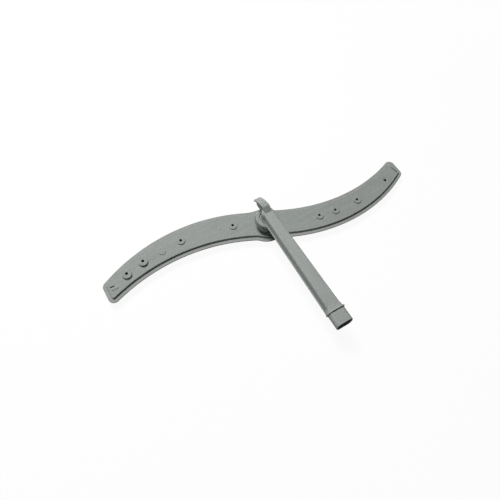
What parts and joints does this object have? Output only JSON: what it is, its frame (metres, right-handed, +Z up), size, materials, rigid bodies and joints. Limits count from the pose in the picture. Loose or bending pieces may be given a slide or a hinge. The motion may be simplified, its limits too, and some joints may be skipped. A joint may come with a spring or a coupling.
{
  "type": "dishwasher upper spray arm with feed pipe",
  "caption": "S-shaped hollow spray rotor with moulded jets, hung by a ring nut under the outlet of a flat feed pipe with an oval plug-in spigot and a hanging tongue.",
  "frame": {"origin": "on the spin axis, at the flat underside of the rotor's lower shell", "axes": "+Z up along the spin axis, X along the arms from tip to tip, -Y along the feed pipe towards its mouth"},
  "size_m": [0.46, 0.2276, 0.0505],
  "materials": {
    "pipe_plastic": "satin",
    "arm_plastic": "satin",
    "tray_plastic": "satin",
    "nut_plastic": "satin"
  },
  "bodies": {
    "feed_pipe_body": {"feed_pipe": "pipe_plastic"},
    "rotor": {"arm_upper_shell": "arm_plastic", "arm_lower_shell": "tray_plastic", "hub_ring_nut": "nut_plastic"}
  },
  "joints": [
    {"name": "rotor_spin", "type": "hinge", "parent": "feed_pipe_body", "child": "rotor", "pos_m": [0, 0, 0.027], "axis": [0, 0, 1], "continuous": true}
  ]
}
